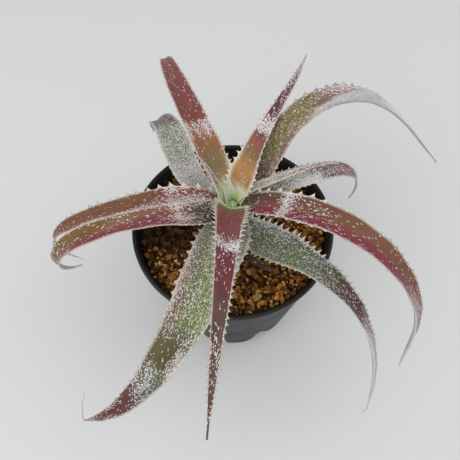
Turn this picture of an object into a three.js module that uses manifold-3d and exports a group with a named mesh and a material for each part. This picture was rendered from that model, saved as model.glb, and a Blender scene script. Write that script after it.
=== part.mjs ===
// Spiny bromeliad rosette in a round black nursery pot filled with baked-clay granules.
// Millimetres, +Z up. The origin is the centre of the pot's underside, and -Y is the front.
import * as THREE from "three";
import Module from "manifold-3d";

const wasm = await Module();
wasm.setup();

// Sizes of the pot
const POT_HEIGHT = 85;
const RIM_RADIUS = 52.5;
const RIM_DEPTH = 3;
const WALL = 1.4;
const SHOULDER_RADIUS = 51.2;
const FOOT_RADIUS = 39.4;
const FOOT_ROUND = 2.5;
const FLOOR = 2.5;
const DRAIN_HOLES = 6;
const DRAIN_HOLE_RADIUS = 3.5;
const DRAIN_CIRCLE_RADIUS = 24;
const NOTCHES = 6;
const NOTCH_DEPTH = 6;
const NOTCH_HEIGHT = 26;
const POT_TURN = -3.6;
const POT_SECTORS = 60;

// Sizes of the soil
const GAP = 0.3;
const SOIL_TOP = 75.5;
const GRANULES = 112;
const GRANULE_LEAST = 3.9;
const GRANULE_MOST = 5.4;
const GRANULE_SEED = 11;

// Sizes of the stem
const STEM_FOOT = 68;
const STEM_TOP = 104.5;
const STEM_RADIUS = 5.6;
const STEM_TOP_RADIUS = 2.4;

// Sizes that all leaves share
const LEAF_START = 2.5;
const BLADE_THICKNESS = 1.5;
const MARGIN_THICKNESS = 0.7;
const CHANNEL = 0.15;
const BASE_CHANNEL = 0.3;
const BASE_WIDTH = 0.62;
const WIDEST_AT = 0.2;
const TIP_WIDTH = 0.8;
const SPINE_SPACING = 7.2;
const SPINE_BASE = 1.7;
const SPINE_LENGTH = 2.6;
const SPINE_LEAN = 25;
const SPINES_FROM = 13;

// Leaves from the heart to the lowest.
// azimuth: direction in degrees, counter-clockwise from +X. rise: height of the base.
// pitch: slope in degrees at five even places from base to tip.
// swing: turn away from the azimuth at the base, the middle and the tip.
// twist: turn of the blade about its own line at the same three places.
// fullness: how far along the leaf the blade keeps its width.
// thread: the dry filament that ends some of the leaves, with its own slope and direction.
const LEAVES = [
  {
    name: "heart_leaf_back",
    azimuth: 108, rise: 104, length: 12, width: 7, fullness: 1,
    pitch: [86, 80, 76, 72, 68], swing: [0, 0, -6], twist: [0, 0, 0],
    colour: 0xb9bd86, thornless: true,
  },
  {
    name: "heart_leaf_right",
    azimuth: 46, rise: 103.5, length: 13, width: 7, fullness: 1,
    pitch: [82, 70, 60, 52, 46], swing: [0, 0, 4], twist: [0, 0, 0],
    colour: 0x9fb96f, thornless: true,
  },
  {
    name: "leaf_young_right",
    azimuth: 14, rise: 103, length: 53, width: 4.8, fullness: 1.4,
    pitch: [76, 24, 18, 12, -18], swing: [0, -1, -1], twist: [-6, -12, -14],
    colour: 0xa08c78, spineLength: 1.1,
  },
  {
    name: "heart_leaf_left",
    azimuth: 150, rise: 103, length: 11, width: 7, fullness: 1.1,
    pitch: [84, 78, 74, 70, 66], swing: [0, 0, -10], twist: [0, 0, 0],
    colour: 0xb3b68d, thornless: true,
  },
  {
    name: "leaf_young_left",
    azimuth: 181, rise: 103, length: 41, width: 3.2, fullness: 1.5,
    pitch: [35, 86, 75, 69, 66], swing: [21, -6, -7], twist: [-20, -24, -20],
    colour: 0x8a7466, spineLength: 1.1,
  },
  {
    name: "leaf_front",
    azimuth: -120, rise: 101, length: 125.5, width: 13.5, fullness: 0.85,
    pitch: [61, 36, 2.8, -24.5, -54.7], swing: [30, 25.1, 21.9], twist: [-14, -2.7, 1.2],
    colour: 0x8a4a48,
  },
  {
    name: "leaf_back_right_upper",
    azimuth: 61, rise: 103.5, length: 84.1, width: 13.7, fullness: 0.73,
    pitch: [69, 55.4, 33.4, 8, -11.8], swing: [-10, -7.6, 12.6], twist: [8.1, -16.3, -13.1],
    colour: 0x9a6a48,
  },
  {
    name: "leaf_back_left_upper",
    azimuth: 112, rise: 101, length: 119.9, width: 13.9, fullness: 2.17,
    pitch: [35.9, 18, 6, -17.9, -66.3], swing: [6.6, 0.8, -14.5], twist: [6.2, 8, -19.9],
    colour: 0x94524a, thread: { length: 9, pitch: 5, heading: 15 },
  },
  {
    name: "leaf_right",
    azimuth: -30.6, rise: 100, length: 185.5, width: 13.9, fullness: 1.96,
    pitch: [51.1, 9.8, -45.1, -77.7, -79], swing: [2.9, -2.3, -15.1], twist: [11.5, -9.7, 4.8],
    colour: 0x8c5448,
  },
  {
    name: "leaf_left_near",
    azimuth: 204.9, rise: 99, length: 108.8, width: 13, fullness: 3.05,
    pitch: [29.3, 27.7, 1.8, -29.3, -166.7], swing: [12.9, -8.2, 4.4], twist: [-27.1, 18.7, -40.9],
    colour: 0x93684f,
  },
  {
    name: "leaf_left_far",
    azimuth: 177, rise: 96.5, length: 133.9, width: 12.4, fullness: 2.14,
    pitch: [42.8, -15, -21.2, -47.8, -140.9], swing: [-2.8, 5.6, 3.1], twist: [1.6, 1.3, -14.2],
    colour: 0x8f5a4b, thread: { length: 7, pitch: -10, heading: -25 },
  },
  {
    name: "leaf_right_short",
    azimuth: 20.1, rise: 95.5, length: 98, width: 12.5, fullness: 1.28,
    pitch: [43.1, 2.9, -8.3, -55.9, -109.2], swing: [3.6, 1.3, -8.7], twist: [-38.1, 22.9, 15.1],
    colour: 0x9a918c,
  },
  {
    name: "leaf_back_right_long",
    azimuth: 42, rise: 93.5, length: 174, width: 13.9, fullness: 1.17,
    pitch: [42.8, 61.3, -22, -47.9, -48.2], swing: [2, -25, -39.9], twist: [6.5, 4.2, -14.5],
    colour: 0x8b8368,
  },
  {
    name: "leaf_back_left_lower",
    azimuth: 139.9, rise: 91, length: 92.4, width: 16.4, fullness: 3.43,
    pitch: [15.5, 22.4, 12.4, -32.1, -81.3], swing: [20.6, -29.4, 0], twist: [31.8, 12.6, -7.3],
    colour: 0x8f9282,
  },
  {
    name: "leaf_front_left",
    azimuth: -113.2, rise: 90.5, length: 141.5, width: 23.6, fullness: 1.74,
    pitch: [31.9, 24, -14.5, -38.9, -36.2], swing: [16.3, -5.5, -68], twist: [-11.9, 16.3, 10.7],
    colour: 0x7f8170, thread: { length: 18, pitch: 50, heading: 66 },
  },
  {
    name: "leaf_front_right",
    azimuth: -48.7, rise: 87.5, length: 176, width: 18.6, fullness: 0.67,
    pitch: [13.4, 20.9, -52.2, -73.3, -77.4], swing: [3.2, 3.1, -9.3], twist: [28.9, -31.8, -4.8],
    colour: 0x7c7a72, thread: { length: 6, pitch: -45, heading: -150 },
  },
  {
    name: "leaf_dried",
    azimuth: -76, rise: 84, length: 34, width: 5.5, fullness: 1.6,
    pitch: [6, -6, -6, 0, 6], swing: [0, 24, 56], twist: [0, 10, 20],
    colour: 0x7a5a3c, spineLength: 0.9,
  },
];

function radians(degrees) {
  return (degrees * Math.PI) / 180;
}

// A repeatable draw between 0 and 1
function seededDraw(seed) {
  let state = seed;
  return () => {
    state = (state * 1664525 + 1013904223) % 4294967296;
    return state / 4294967296;
  };
}

// A smooth curve through evenly spaced values, read at t from 0 to 1
function along(values, t) {
  const last = values.length - 1;
  const place = Math.min(Math.max(t, 0), 1) * last;
  const i = Math.min(Math.floor(place), last - 1);
  const f = place - i;
  const b = values[i];
  const c = values[i + 1];
  const a = i > 0 ? values[i - 1] : 2 * b - c;
  const d = i + 2 <= last ? values[i + 2] : 2 * c - b;
  return b + 0.5 * f * (c - a + f * (2 * a - 5 * b + 4 * c - d + f * (3 * (b - c) + d - a)));
}

// A closed solid from points and triangles
function solidOf(points, triangles) {
  const mesh = new wasm.Mesh({
    numProp: 3,
    vertProperties: new Float32Array(points.flat()),
    triVerts: new Uint32Array(triangles.flat()),
  });
  mesh.merge();
  return new wasm.Manifold(mesh);
}

// The largest body of a solid
function mainBody(solid) {
  const bodies = solid.decompose();
  bodies.sort((a, b) => b.volume() - a.volume());
  return bodies[0];
}

// A solid of revolution. profile: [radius, height] from the axis at the bottom, outside and up,
// to the axis at the top. shape gives the radius of a point at an angle in degrees.
function turned(profile, sectors, shape = (radius) => radius) {
  const points = [];
  const triangles = [];
  const rows = profile.map(([radius, height]) => {
    if (radius === 0) {
      points.push([0, 0, height]);
      return [points.length - 1];
    }
    const row = [];
    for (let i = 0; i < sectors; i += 1) {
      const angle = (i * 360) / sectors;
      const r = shape(radius, height, angle);
      points.push([r * Math.cos(radians(angle)), r * Math.sin(radians(angle)), height]);
      row.push(points.length - 1);
    }
    return row;
  });
  for (let j = 0; j + 1 < rows.length; j += 1) {
    for (let i = 0; i < sectors; i += 1) {
      const k = (i + 1) % sectors;
      const low = rows[j];
      const high = rows[j + 1];
      if (low.length > 1) triangles.push([low[i], low[k], high[high.length > 1 ? k : 0]]);
      if (high.length > 1) triangles.push([low[low.length > 1 ? i : 0], high[k], high[i]]);
    }
  }
  return solidOf(points, triangles);
}

// How far the foot is drawn in at an angle. Its outline has six rounded lobes with a sharp
// notch between each two of them, and the notches fade out upwards.
function notchDepth(height, angle) {
  if (height >= NOTCH_HEIGHT) return 0;
  const half = 180 / NOTCHES;
  const fromLobe = Math.abs((angle % (2 * half)) - half) / half;
  return NOTCH_DEPTH * fromLobe ** 6 * (1 - height / NOTCH_HEIGHT);
}

function wallRadius(height) {
  return FOOT_RADIUS + ((SHOULDER_RADIUS - FOOT_RADIUS) * height) / (POT_HEIGHT - RIM_DEPTH);
}

function innerRadius(height) {
  return wallRadius(height) - WALL;
}

function notched(radius, height, angle) {
  return radius - notchDepth(height, angle);
}

function potSolid() {
  const outer = turned(
    [
      [0, 0],
      [FOOT_RADIUS - FOOT_ROUND, 0],
      [wallRadius(FOOT_ROUND), FOOT_ROUND],
      [wallRadius(NOTCH_HEIGHT / 2), NOTCH_HEIGHT / 2],
      [wallRadius(NOTCH_HEIGHT), NOTCH_HEIGHT],
      [SHOULDER_RADIUS, POT_HEIGHT - RIM_DEPTH],
      [RIM_RADIUS - 0.3, POT_HEIGHT - RIM_DEPTH],
      [RIM_RADIUS, POT_HEIGHT - 0.8],
      [RIM_RADIUS - 0.7, POT_HEIGHT],
      [0, POT_HEIGHT],
    ],
    POT_SECTORS,
    notched,
  );
  const inner = turned(
    [
      [0, FLOOR],
      [innerRadius(FLOOR) - FOOT_ROUND, FLOOR],
      [innerRadius(FLOOR + FOOT_ROUND), FLOOR + FOOT_ROUND],
      [innerRadius(NOTCH_HEIGHT), NOTCH_HEIGHT],
      [innerRadius(POT_HEIGHT + 1), POT_HEIGHT + 1],
      [0, POT_HEIGHT + 1],
    ],
    POT_SECTORS,
    notched,
  );
  const hole = turned(
    [
      [0, -1],
      [DRAIN_HOLE_RADIUS, -1],
      [DRAIN_HOLE_RADIUS, FLOOR + 1],
      [0, FLOOR + 1],
    ],
    16,
  );
  let pot = outer.subtract(inner);
  for (let i = 0; i < DRAIN_HOLES; i += 1) {
    const angle = radians((i + 0.5) * (360 / DRAIN_HOLES));
    const x = DRAIN_CIRCLE_RADIUS * Math.cos(angle);
    const y = DRAIN_CIRCLE_RADIUS * Math.sin(angle);
    pot = pot.subtract(hole.translate([x, y, 0]));
  }
  return pot.rotate([0, 0, POT_TURN]);
}

// One clay granule, a squashed twenty-sided lump with moved corners
function granule(x, y, z, radius, draw) {
  const base = new THREE.IcosahedronGeometry(1, 0);
  const corners = [];
  const index = [];
  const position = base.getAttribute("position");
  const turn = new THREE.Euler(draw() * 6, draw() * 6, draw() * 6);
  for (let i = 0; i < position.count; i += 1) {
    const p = new THREE.Vector3().fromBufferAttribute(position, i);
    let at = corners.findIndex((q) => q.home.distanceTo(p) < 1e-4);
    if (at < 0) {
      at = corners.length;
      const moved = p.clone().multiplyScalar(radius * (0.82 + 0.3 * draw())).applyEuler(turn);
      corners.push({ home: p, point: [x + moved.x, y + moved.y, z + moved.z * 0.8] });
    }
    index.push(at);
  }
  const triangles = [];
  for (let i = 0; i < index.length; i += 3) triangles.push(index.slice(i, i + 3));
  return solidOf(corners.map((c) => c.point), triangles);
}

function soilSolid() {
  const fill = turned(
    [
      [0, FLOOR + GAP],
      [innerRadius(FLOOR) - FOOT_ROUND - GAP, FLOOR + GAP],
      [innerRadius(FLOOR + FOOT_ROUND) - GAP, FLOOR + FOOT_ROUND],
      [innerRadius(NOTCH_HEIGHT) - GAP, NOTCH_HEIGHT],
      [innerRadius(SOIL_TOP) - GAP, SOIL_TOP],
      [0, SOIL_TOP],
    ],
    POT_SECTORS,
    notched,
  ).rotate([0, 0, POT_TURN]);
  const draw = seededDraw(GRANULE_SEED);
  const lumps = [];
  const reach = innerRadius(SOIL_TOP) - GRANULE_LEAST;
  for (let i = 0; i < GRANULES; i += 1) {
    const r = reach * Math.sqrt((i + 0.5) / GRANULES) + (draw() - 0.5) * 1.4;
    const angle = radians(i * 137.508) + (draw() - 0.5) * 0.05;
    const size = GRANULE_LEAST + (GRANULE_MOST - GRANULE_LEAST) * draw() ** 1.5;
    const edge = Math.max(0, r + size - innerRadius(SOIL_TOP));
    const z = SOIL_TOP - 0.2 + 1.2 * draw() - 0.2 * edge;
    lumps.push(granule((r - edge) * Math.cos(angle), (r - edge) * Math.sin(angle), z, size, draw));
  }
  const hole = turned(
    [
      [0, STEM_FOOT - GAP],
      [STEM_RADIUS + GAP, STEM_FOOT - GAP],
      [STEM_RADIUS + GAP, POT_HEIGHT + 9],
      [0, POT_HEIGHT + 9],
    ],
    24,
  );
  const fence = turned(
    [
      [0, NOTCH_HEIGHT],
      [innerRadius(NOTCH_HEIGHT) - GAP, NOTCH_HEIGHT],
      [innerRadius(POT_HEIGHT) - GAP, POT_HEIGHT],
      [0, POT_HEIGHT],
    ],
    POT_SECTORS,
  ).rotate([0, 0, POT_TURN]);
  const heap = wasm.Manifold.union(lumps).intersect(fence);
  return mainBody(fill.add(heap).subtract(hole));
}

// The stem, grown by a clearance where a neighbour is cut back from it
function stemSolid(clearance) {
  const c = clearance;
  return turned(
    [
      [0, STEM_FOOT],
      [STEM_RADIUS + c, STEM_FOOT],
      [STEM_RADIUS + c, 90],
      [STEM_RADIUS - 0.7 + c, 96],
      [STEM_RADIUS - 1.7 + c, 101],
      [STEM_TOP_RADIUS + c, STEM_TOP - 0.8 + c],
      [0, STEM_TOP + c],
    ],
    24,
  );
}

// The line of a leaf with its sideways and upward directions, as a function of t from 0 to 1
function leafLine(leaf) {
  const steps = 200;
  const directionAt = (t) => {
    const p = radians(along(leaf.pitch, t));
    const h = radians(leaf.azimuth + along(leaf.swing, t));
    const w = radians(along(leaf.twist, t));
    const forward = new THREE.Vector3(
      Math.cos(p) * Math.cos(h),
      Math.cos(p) * Math.sin(h),
      Math.sin(p),
    );
    const flat = new THREE.Vector3(-Math.sin(h), Math.cos(h), 0);
    const side = flat.applyAxisAngle(forward, w);
    const up = forward.clone().cross(side);
    return { forward, side, up };
  };
  const start = new THREE.Vector3(
    LEAF_START * Math.cos(radians(leaf.azimuth)),
    LEAF_START * Math.sin(radians(leaf.azimuth)),
    leaf.rise,
  );
  const points = [start];
  for (let i = 0; i < steps; i += 1) {
    const move = directionAt((i + 0.5) / steps).forward.multiplyScalar(leaf.length / steps);
    points.push(points[i].clone().add(move));
  }
  return (t) => {
    const place = Math.min(Math.max(t, 0), 1) * steps;
    const i = Math.min(Math.floor(place), steps - 1);
    const centre = points[i].clone().lerp(points[i + 1], place - i);
    return { centre, ...directionAt(t) };
  };
}

function bladeWidth(leaf, t) {
  const rise = Math.sin((Math.min(t / WIDEST_AT, 1) * Math.PI) / 2);
  const fall = Math.max(t - WIDEST_AT, 0) / (1 - WIDEST_AT);
  const share = (BASE_WIDTH + (1 - BASE_WIDTH) * rise) * (1 - fall ** leaf.fullness);
  return Math.max(leaf.width * share, TIP_WIDTH);
}

// Places along the leaf where a ring of the blade is set, with the spines between two of them
function leafRings(leaf) {
  const rings = [{ t: 0 }];
  const first = leaf.length > 60 ? SPINES_FROM : 7;
  for (let s = first; s < leaf.length - 3; s += SPINE_SPACING) {
    if (leaf.thornless) {
      rings.push({ t: s / leaf.length });
      continue;
    }
    rings.push({ t: (s - SPINE_BASE / 2) / leaf.length, spine: true });
    rings.push({ t: (s + SPINE_BASE / 2) / leaf.length });
  }
  rings.push({ t: 1 });
  return rings;
}

// A channelled blade with a thorn on each margin between two close rings.
// grow: how much thicker and wider a copy is that cuts its neighbours back.
function leafSolid(leaf, grow = 0) {
  const line = leafLine(leaf);
  const rings = leafRings(leaf);
  const across = [1, 0.42, -0.42, -1];
  const points = [];
  const triangles = [];
  const quad = (a, b, c, d) => {
    triangles.push([a, b, c]);
    triangles.push([a, c, d]);
  };
  const addRing = (centre, side, up, width, thickness, edge, channel) => {
    const half = width / 2 + grow;
    const row = [];
    for (const face of [1, -1]) {
      for (const f of across) {
        const thick = Math.abs(f) === 1 ? edge : thickness;
        const lift = channel * width * Math.abs(f) ** 1.6 + face * (thick / 2 + grow);
        const p = centre.clone().addScaledVector(side, half * f).addScaledVector(up, lift);
        points.push([p.x, p.y, p.z]);
        row.push(points.length - 1);
      }
    }
    return row;
  };
  const rows = rings.map(({ t }) => {
    const { centre, side, up } = line(t);
    const width = bladeWidth(leaf, t);
    const edge = Math.min(MARGIN_THICKNESS, width);
    const thickness = Math.min(BLADE_THICKNESS, edge + 0.08 * width);
    const deep = CHANNEL + (BASE_CHANNEL - CHANNEL) * Math.max(0, 1 - t / 0.25) ** 2;
    return addRing(centre, side, up, width, thickness, edge, deep);
  });
  if (leaf.thread) {
    const { centre, up } = line(1);
    const heading = radians(leaf.thread.heading);
    const rise = radians(leaf.thread.pitch);
    const forward = new THREE.Vector3(
      Math.cos(rise) * Math.cos(heading),
      Math.cos(rise) * Math.sin(heading),
      Math.sin(rise),
    );
    const before = line(1).forward;
    const at = centre.clone();
    for (let i = 1; i <= 3; i += 1) {
      const way = before.clone().lerp(forward, Math.min(1, 0.55 + 0.2 * i)).normalize();
      at.addScaledVector(way, leaf.thread.length / 3);
      const side = up.clone().cross(way).normalize();
      const lift = way.clone().cross(side);
      rows.push(addRing(at, side, lift, TIP_WIDTH, MARGIN_THICKNESS, MARGIN_THICKNESS, 0));
    }
  }
  for (let j = 0; j + 1 < rows.length; j += 1) {
    const a = rows[j];
    const b = rows[j + 1];
    for (let i = 0; i < 3; i += 1) {
      quad(a[i], a[i + 1], b[i + 1], b[i]);
      quad(a[i + 4], b[i + 4], b[i + 5], a[i + 5]);
    }
    for (const [top, low, sign] of [
      [0, 4, 1],
      [3, 7, -1],
    ]) {
      const corners = [a[low], a[top], b[top], b[low]];
      if (sign < 0) corners.reverse();
      if (!rings[j] || !rings[j].spine) {
        quad(corners[0], corners[1], corners[2], corners[3]);
        continue;
      }
      const { centre, forward, side, up } = line((rings[j].t + rings[j + 1].t) / 2);
      const width = bladeWidth(leaf, rings[j].t);
      const most = leaf.spineLength || SPINE_LENGTH;
      const reach = Math.min(most, 0.8 + 0.16 * width) + 2.5 * grow;
      const lean = radians(SPINE_LEAN);
      const out = side.clone().multiplyScalar(sign * Math.cos(radians(35)));
      out.addScaledVector(up, Math.sin(radians(35)));
      const tip = centre.clone().addScaledVector(side, (sign * width) / 2);
      tip.addScaledVector(up, CHANNEL * width);
      tip.addScaledVector(out, reach * Math.cos(lean)).addScaledVector(forward, reach * Math.sin(lean));
      points.push([tip.x, tip.y, tip.z]);
      for (let i = 0; i < 4; i += 1) {
        triangles.push([corners[i], corners[(i + 1) % 4], points.length - 1]);
      }
    }
  }
  const capStart = rows[0];
  const capEnd = rows[rows.length - 1];
  for (let i = 0; i < 3; i += 1) {
    quad(capStart[i], capStart[i + 4], capStart[i + 5], capStart[i + 1]);
    quad(capEnd[i], capEnd[i + 1], capEnd[i + 5], capEnd[i + 4]);
  }
  return solidOf(points, triangles);
}

const group = new THREE.Group();

function addPart(name, solid, material) {
  const { vertProperties, triVerts } = solid.getMesh();
  const geometry = new THREE.BufferGeometry();
  geometry.setAttribute("position", new THREE.BufferAttribute(vertProperties, 3));
  geometry.setIndex(new THREE.BufferAttribute(triVerts, 1));
  geometry.computeVertexNormals();
  const mesh = new THREE.Mesh(geometry, new THREE.MeshStandardMaterial(material));
  mesh.name = name;
  group.add(mesh);
}

addPart("pot", potSolid(), { color: 0x2f3133, roughness: 0.45, metalness: 0 });
addPart("soil", soilSolid(), { color: 0x8a5a34, roughness: 0.95, metalness: 0 });
addPart("stem", stemSolid(0), { color: 0x6d6a45, roughness: 0.8, metalness: 0 });

// Each leaf ends a small gap off the stem and off the leaves above it
const clearStem = stemSolid(GAP);
const above = [];
for (const leaf of LEAVES) {
  let blade = leafSolid(leaf).subtract(clearStem);
  for (const other of above) blade = blade.subtract(other);
  addPart(leaf.name, mainBody(blade), { color: leaf.colour, roughness: 0.6, metalness: 0 });
  above.push(leafSolid(leaf, GAP));
}

export default group;
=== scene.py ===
import bmesh
import bpy
import numpy as np
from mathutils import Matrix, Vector


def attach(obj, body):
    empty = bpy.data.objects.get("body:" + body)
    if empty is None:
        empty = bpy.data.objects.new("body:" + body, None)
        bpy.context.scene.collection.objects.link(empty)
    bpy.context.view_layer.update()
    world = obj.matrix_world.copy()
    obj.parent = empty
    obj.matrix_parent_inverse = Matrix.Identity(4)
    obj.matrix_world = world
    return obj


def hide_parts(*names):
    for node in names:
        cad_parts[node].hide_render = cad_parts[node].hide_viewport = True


# A spiny bromeliad rosette in a round black nursery pot of baked-clay granules.
# Sizes are in millimetres in the pot's own frame, +Z up and -Y towards the front, and become
# metres when a mesh is made. Angles are in degrees.

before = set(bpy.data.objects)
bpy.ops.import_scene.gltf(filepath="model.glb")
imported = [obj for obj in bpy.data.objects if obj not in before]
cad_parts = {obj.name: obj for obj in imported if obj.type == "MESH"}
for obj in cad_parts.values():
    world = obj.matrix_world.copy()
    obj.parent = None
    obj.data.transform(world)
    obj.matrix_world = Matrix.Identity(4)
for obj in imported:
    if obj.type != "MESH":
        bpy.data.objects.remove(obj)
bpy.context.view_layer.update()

MILLIMETRE = 0.001
SEED = 7

# View of the photograph
CAMERA_PLACE = (-1.46, -123.14, 290.99)
CAMERA_TILT = 29.9
CAMERA_LENS = 36.0
CAMERA_SENSOR = 36.0

# Light: the room's, in radiance, and the lamps', in watts
ROOM_COLOUR = (0.965, 0.975, 0.99, 1.0)
ROOM_LIGHT = 0.66
LAMP_COLOUR = (1.0, 0.985, 0.96)
HIGH_LAMP = 0.4
SIDE_LAMP = 1.5
FRONT_LAMP = 4.8

# Pot
POT_HEIGHT = 85.0
RIM_RADIUS = 52.5
RIM_DEPTH = 3.0
WALL = 1.4
SHOULDER_RADIUS = 51.2
FOOT_RADIUS = 39.4
FOOT_ROUND = 2.5
FLOOR = 2.5
DRAIN_HOLES = 6
DRAIN_HOLE_RADIUS = 3.5
DRAIN_CIRCLE_RADIUS = 24.0
NOTCHES = 6
NOTCH_DEPTH = 6.0
NOTCH_HEIGHT = 26.0
POT_TURN = -3.6
POT_STEP = 74.0
STEP_OUT = 0.35
MID_WALL = 60.0
FOOT_HOLLOW = 1.0
FAN_RADIUS = 1.0
POT_SECTORS = 300

# Soil
SOIL_LEVEL = 75.0
SOIL_TOP = 80.6
BED_SECTORS = 120
GAP = 0.3
GOLDEN_ANGLE = 137.508
LUMP_SIDES = 7

# Painted shade on the soil under the leaves, and three paler places: where they are, how wide, and how
# much paler
PAINTED_SHADE_PLACE = (-35.0, -2.0)
PAINTED_SHADE_WIDTH = (500.0, 160.0)
PALE_PLACES = ((25.0, -43.0, 1.3), (-34.0, -26.0, 0.85), (43.0, 2.0, 0.4))
PALE_WIDTH = 150.0

# Stem
STEM_FOOT = 68.0
STEM_TOP = 104.0
SHEATH_RISE = 5.2
LEAF_FOLDS = 7

# Leaf blades: channel depths, margin wave and base width are shares of the width, and the widest
# place and the deeper channel's reach are shares of the length
LEAF_START = 2.5
LINE_STEPS = 200
SHORT_LEAF = 60.0
BLADE_THICKNESS = 1.5
MARGIN_THICKNESS = 0.6
CHANNEL = 0.15
BASE_CHANNEL = 0.3
BASE_REACH = 0.25
MARGIN_WAVE = 0.018
BASE_WIDTH = 0.62
WIDEST_AT = 0.2
TIP_WIDTH = 0.7
TEETH_START = 4.0
SHORT_TEETH_START = 2.0
TEETH_END = 2.5
TOOTH_RISE = 35.0
TOOTH_LEAN = 0.45
UNDERSIDE_SHIFT = 500.0

# Scurf: the blade width above which the scales are shorter and lie less in line, the distance
# between scales on such a blade and on a narrower one, and a scale's height and foot
FINE_WIDTH = 16.0
FINE_STEP = 0.74
SCALE_STEP = 0.64
SCALE_HEIGHT = 0.13
SCALE_FOOT = 0.015

# Filament at a leaf's tip
FILAMENT_STEPS = 24
FILAMENT_SIDES = 6


def pigment(code):
    """The linear colour of a six-digit colour code."""
    value = np.array([int(code[i : i + 2], 16) for i in (0, 2, 4)]) / 255.0
    return np.where(value <= 0.04045, value / 12.92, ((value + 0.055) / 1.055) ** 2.4)


# Leaf pigments
MINT = pigment("e4f2cc")
LIME = pigment("cfe8a4")
MOSS = pigment("7d8a45")
CREAM = pigment("e6dcc0")
SPINE = pigment("f0e8da")
HONEY = pigment("bf8d54")
OCHRE = pigment("b07d36")
COPPER = pigment("9a5f3c")
BRONZE = pigment("93594a")
OLIVE = pigment("83744a")
OLIVE_TAN = pigment("786c46")
KHAKI = pigment("7a5c32")
LEAF_GREEN = pigment("6a7a42")
GREY_GREEN = pigment("5f6853")
SLATE = pigment("4b4a42")
SHADE = pigment("35302c")
RUSSET = pigment("7d5038")
DARK_OLIVE = pigment("595128")
LOAM = pigment("4e3a35")
SAGE = pigment("858a76")
MOSS_GREY = pigment("5b5943")
OLIVE_GREEN = pigment("6c6b3a")
FAWN = pigment("8c6b48")
UMBER = pigment("5f443a")
PLUM = pigment("5e3a3e")
MAROON = pigment("824345")
DARK_MAROON = pigment("603430")
BRICK = pigment("82463f")
DEEP_RED = pigment("6f3036")
CRIMSON = pigment("882e3f")
DUSK = pigment("775f60")
MAUVE = pigment("8f6c72")
ROSE_GREY = pigment("a98d92")
STRAW = pigment("a98a5c")
BARK = pigment("5c4028")
SCURF = pigment("f2eceb")
YELLOW_SCURF = pigment("e4deb6")
STRAW_SCURF = pigment("c8bc8a")
UNDERSIDE = pigment("c9cac9")
SILVER = pigment("c8c7c3")
PALE_SILVER = pigment("e8e9e7")

# Pigments of the stem, the clay, the pot and the table
STEM_BROWN = pigment("6b5334")
BUD_GREEN = pigment("9cc47e")
CLAY_TONES = [pigment(code) for code in ("4a2d16", "7e5123", "a87233", "c8954c", "dcb878")]
CLAY_SHARES = (0.2, 0.28, 0.27, 0.2, 0.05)
WET_CLAY = pigment("4a2a12")
POT_BLACK = pigment("292929")
POT_DUST = pigment("454442")
PAINTED_INSIDE_SHADE = pigment("222120")

# Heights in metres between which the painted shade on the inside gives way to the foot's plain colour
FOOT_FADE = (0.037, 0.033)
TABLE = pigment("dddede")

# Felted silver: its pigments along the blade
FELT = ((0.6, SILVER), (0.68, PALE_SILVER), (0.84, PALE_SILVER), (0.9, SILVER), (1, CREAM))

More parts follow.
